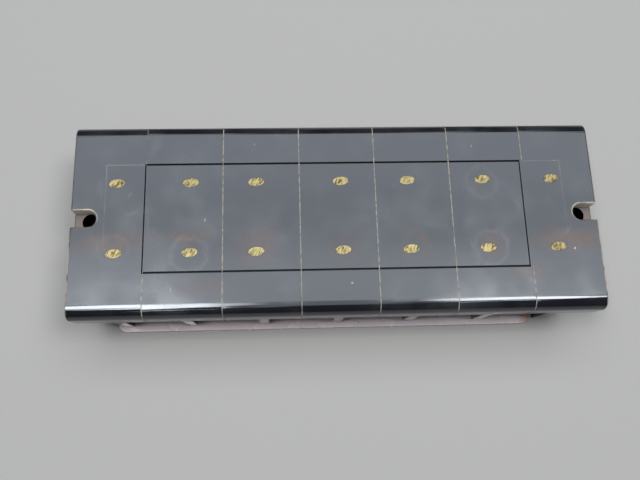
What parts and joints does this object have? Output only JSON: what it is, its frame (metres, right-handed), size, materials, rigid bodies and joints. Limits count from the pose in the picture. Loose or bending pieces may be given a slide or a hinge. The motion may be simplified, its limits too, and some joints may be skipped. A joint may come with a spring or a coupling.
{
  "type": "barrier terminal strip",
  "caption": "Black phenolic barrier terminal strip lying on its clear cover: flat back with oval brass pins, open mounting notches, barriers, bars and clamp screws beneath.",
  "frame": {"origin": "on the outer face of the cover, under the middle of the strip", "axes": "+X along the row of poles, +Y from the front row of screws to the rear row, +Z out of the flat back, which is up as the strip lies on its cover"},
  "size_m": [0.1516, 0.0578, 0.0275],
  "materials": {
    "black_phenolic": "glossy black moulded phenolic, worn pale along the edges",
    "clear_cover": "clear plastic strip with a faint pink tint and bright cut edges",
    "plated_brass": "nickel-plated brass, satin",
    "bare_brass": "bare brass, ground flush with fine slanting scratches",
    "plated_steel": "zinc-plated steel, satin"
  },
  "bodies": {
    "block": {"housing": "black_phenolic", "terminal_bar_1": "plated_brass", "terminal_bar_2": "plated_brass", "terminal_bar_3": "plated_brass", "terminal_bar_4": "plated_brass", "terminal_bar_5": "plated_brass", "terminal_bar_6": "plated_brass", "terminal_nuts_front": "plated_brass", "terminal_nuts_rear": "plated_brass", "anchor_pins_front": "bare_brass", "anchor_pins_rear": "bare_brass"},
    "cover": {"cover": "clear_cover"},
    "washers_front_1": {"clamp_washer_front_1": "plated_steel", "spring_washer_front_1": "plated_steel"},
    "screw_front_1": {"terminal_screw_front_1": "plated_steel"},
    "washers_front_2": {"clamp_washer_front_2": "plated_steel", "spring_washer_front_2": "plated_steel"},
    "screw_front_2": {"terminal_screw_front_2": "plated_steel"},
    "washers_front_3": {"clamp_washer_front_3": "plated_steel", "spring_washer_front_3": "plated_steel"},
    "screw_front_3": {"terminal_screw_front_3": "plated_steel"},
    "washers_front_4": {"clamp_washer_front_4": "plated_steel", "spring_washer_front_4": "plated_steel"},
    "screw_front_4": {"terminal_screw_front_4": "plated_steel"},
    "washers_front_5": {"clamp_washer_front_5": "plated_steel", "spring_washer_front_5": "plated_steel"},
    "screw_front_5": {"terminal_screw_front_5": "plated_steel"},
    "washers_front_6": {"clamp_washer_front_6": "plated_steel", "spring_washer_front_6": "plated_steel"},
    "screw_front_6": {"terminal_screw_front_6": "plated_steel"},
    "washers_rear_1": {"clamp_washer_rear_1": "plated_steel", "spring_washer_rear_1": "plated_steel"},
    "screw_rear_1": {"terminal_screw_rear_1": "plated_steel"},
    "washers_rear_2": {"clamp_washer_rear_2": "plated_steel", "spring_washer_rear_2": "plated_steel"},
    "screw_rear_2": {"terminal_screw_rear_2": "plated_steel"},
    "washers_rear_3": {"clamp_washer_rear_3": "plated_steel", "spring_washer_rear_3": "plated_steel"},
    "screw_rear_3": {"terminal_screw_rear_3": "plated_steel"},
    "washers_rear_4": {"clamp_washer_rear_4": "plated_steel", "spring_washer_rear_4": "plated_steel"},
    "screw_rear_4": {"terminal_screw_rear_4": "plated_steel"},
    "washers_rear_5": {"clamp_washer_rear_5": "plated_steel", "spring_washer_rear_5": "plated_steel"},
    "screw_rear_5": {"terminal_screw_rear_5": "plated_steel"},
    "washers_rear_6": {"clamp_washer_rear_6": "plated_steel", "spring_washer_rear_6": "plated_steel"},
    "screw_rear_6": {"terminal_screw_rear_6": "plated_steel"}
  },
  "joints": [
    {"name": "cover_lift_off", "type": "slide", "parent": "block", "child": "cover", "axis": [0, 0, -1], "range_m": [0, 0.012]},
    {"name": "lift_front_1", "type": "slide", "parent": "block", "child": "washers_front_1", "axis": [0, 0, -1], "range_m": [0, 0.003]},
    {"name": "turn_front_1", "type": "hinge", "parent": "washers_front_1", "child": "screw_front_1", "pos_m": [-0.055, -0.014, 0.0093], "axis": [0, 0, -1], "range_deg": [0, 1080.1]},
    {"name": "lift_front_2", "type": "slide", "parent": "block", "child": "washers_front_2", "axis": [0, 0, -1], "range_m": [0, 0.003]},
    {"name": "turn_front_2", "type": "hinge", "parent": "washers_front_2", "child": "screw_front_2", "pos_m": [-0.033, -0.014, 0.0093], "axis": [0, 0, -1], "range_deg": [0, 1080.1]},
    {"name": "lift_front_3", "type": "slide", "parent": "block", "child": "washers_front_3", "axis": [0, 0, -1], "range_m": [0, 0.003]},
    {"name": "turn_front_3", "type": "hinge", "parent": "washers_front_3", "child": "screw_front_3", "pos_m": [-0.011, -0.014, 0.0093], "axis": [0, 0, -1], "range_deg": [0, 1080.1]},
    {"name": "lift_front_4", "type": "slide", "parent": "block", "child": "washers_front_4", "axis": [0, 0, -1], "range_m": [0, 0.003]},
    {"name": "turn_front_4", "type": "hinge", "parent": "washers_front_4", "child": "screw_front_4", "pos_m": [0.011, -0.014, 0.0093], "axis": [0, 0, -1], "range_deg": [0, 1080.1]},
    {"name": "lift_front_5", "type": "slide", "parent": "block", "child": "washers_front_5", "axis": [0, 0, -1], "range_m": [0, 0.003]},
    {"name": "turn_front_5", "type": "hinge", "parent": "washers_front_5", "child": "screw_front_5", "pos_m": [0.033, -0.014, 0.0093], "axis": [0, 0, -1], "range_deg": [0, 1080.1]},
    {"name": "lift_front_6", "type": "slide", "parent": "block", "child": "washers_front_6", "axis": [0, 0, -1], "range_m": [0, 0.003]},
    {"name": "turn_front_6", "type": "hinge", "parent": "washers_front_6", "child": "screw_front_6", "pos_m": [0.055, -0.014, 0.0093], "axis": [0, 0, -1], "range_deg": [0, 1080.1]},
    {"name": "lift_rear_1", "type": "slide", "parent": "block", "child": "washers_rear_1", "axis": [0, 0, -1], "range_m": [0, 0.003]},
    {"name": "turn_rear_1", "type": "hinge", "parent": "washers_rear_1", "child": "screw_rear_1", "pos_m": [-0.055, 0.014, 0.0093], "axis": [0, 0, -1], "range_deg": [0, 1080.1]},
    {"name": "lift_rear_2", "type": "slide", "parent": "block", "child": "washers_rear_2", "axis": [0, 0, -1], "range_m": [0, 0.003]},
    {"name": "turn_rear_2", "type": "hinge", "parent": "washers_rear_2", "child": "screw_rear_2", "pos_m": [-0.033, 0.014, 0.0093], "axis": [0, 0, -1], "range_deg": [0, 1080.1]},
    {"name": "lift_rear_3", "type": "slide", "parent": "block", "child": "washers_rear_3", "axis": [0, 0, -1], "range_m": [0, 0.003]},
    {"name": "turn_rear_3", "type": "hinge", "parent": "washers_rear_3", "child": "screw_rear_3", "pos_m": [-0.011, 0.014, 0.0093], "axis": [0, 0, -1], "range_deg": [0, 1080.1]},
    {"name": "lift_rear_4", "type": "slide", "parent": "block", "child": "washers_rear_4", "axis": [0, 0, -1], "range_m": [0, 0.003]},
    {"name": "turn_rear_4", "type": "hinge", "parent": "washers_rear_4", "child": "screw_rear_4", "pos_m": [0.011, 0.014, 0.0093], "axis": [0, 0, -1], "range_deg": [0, 1080.1]},
    {"name": "lift_rear_5", "type": "slide", "parent": "block", "child": "washers_rear_5", "axis": [0, 0, -1], "range_m": [0, 0.003]},
    {"name": "turn_rear_5", "type": "hinge", "parent": "washers_rear_5", "child": "screw_rear_5", "pos_m": [0.033, 0.014, 0.0093], "axis": [0, 0, -1], "range_deg": [0, 1080.1]},
    {"name": "lift_rear_6", "type": "slide", "parent": "block", "child": "washers_rear_6", "axis": [0, 0, -1], "range_m": [0, 0.003]},
    {"name": "turn_rear_6", "type": "hinge", "parent": "washers_rear_6", "child": "screw_rear_6", "pos_m": [0.055, 0.014, 0.0093], "axis": [0, 0, -1], "range_deg": [0, 1080.1]}
  ],
  "couplings": [
    {"joint": "turn_front_1", "follows": "lift_front_1", "rad_per_m": 6283.2},
    {"joint": "turn_front_2", "follows": "lift_front_2", "rad_per_m": 6283.2},
    {"joint": "turn_front_3", "follows": "lift_front_3", "rad_per_m": 6283.2},
    {"joint": "turn_front_4", "follows": "lift_front_4", "rad_per_m": 6283.2},
    {"joint": "turn_front_5", "follows": "lift_front_5", "rad_per_m": 6283.2},
    {"joint": "turn_front_6", "follows": "lift_front_6", "rad_per_m": 6283.2},
    {"joint": "turn_rear_1", "follows": "lift_rear_1", "rad_per_m": 6283.2},
    {"joint": "turn_rear_2", "follows": "lift_rear_2", "rad_per_m": 6283.2},
    {"joint": "turn_rear_3", "follows": "lift_rear_3", "rad_per_m": 6283.2},
    {"joint": "turn_rear_4", "follows": "lift_rear_4", "rad_per_m": 6283.2},
    {"joint": "turn_rear_5", "follows": "lift_rear_5", "rad_per_m": 6283.2},
    {"joint": "turn_rear_6", "follows": "lift_rear_6", "rad_per_m": 6283.2}
  ]
}
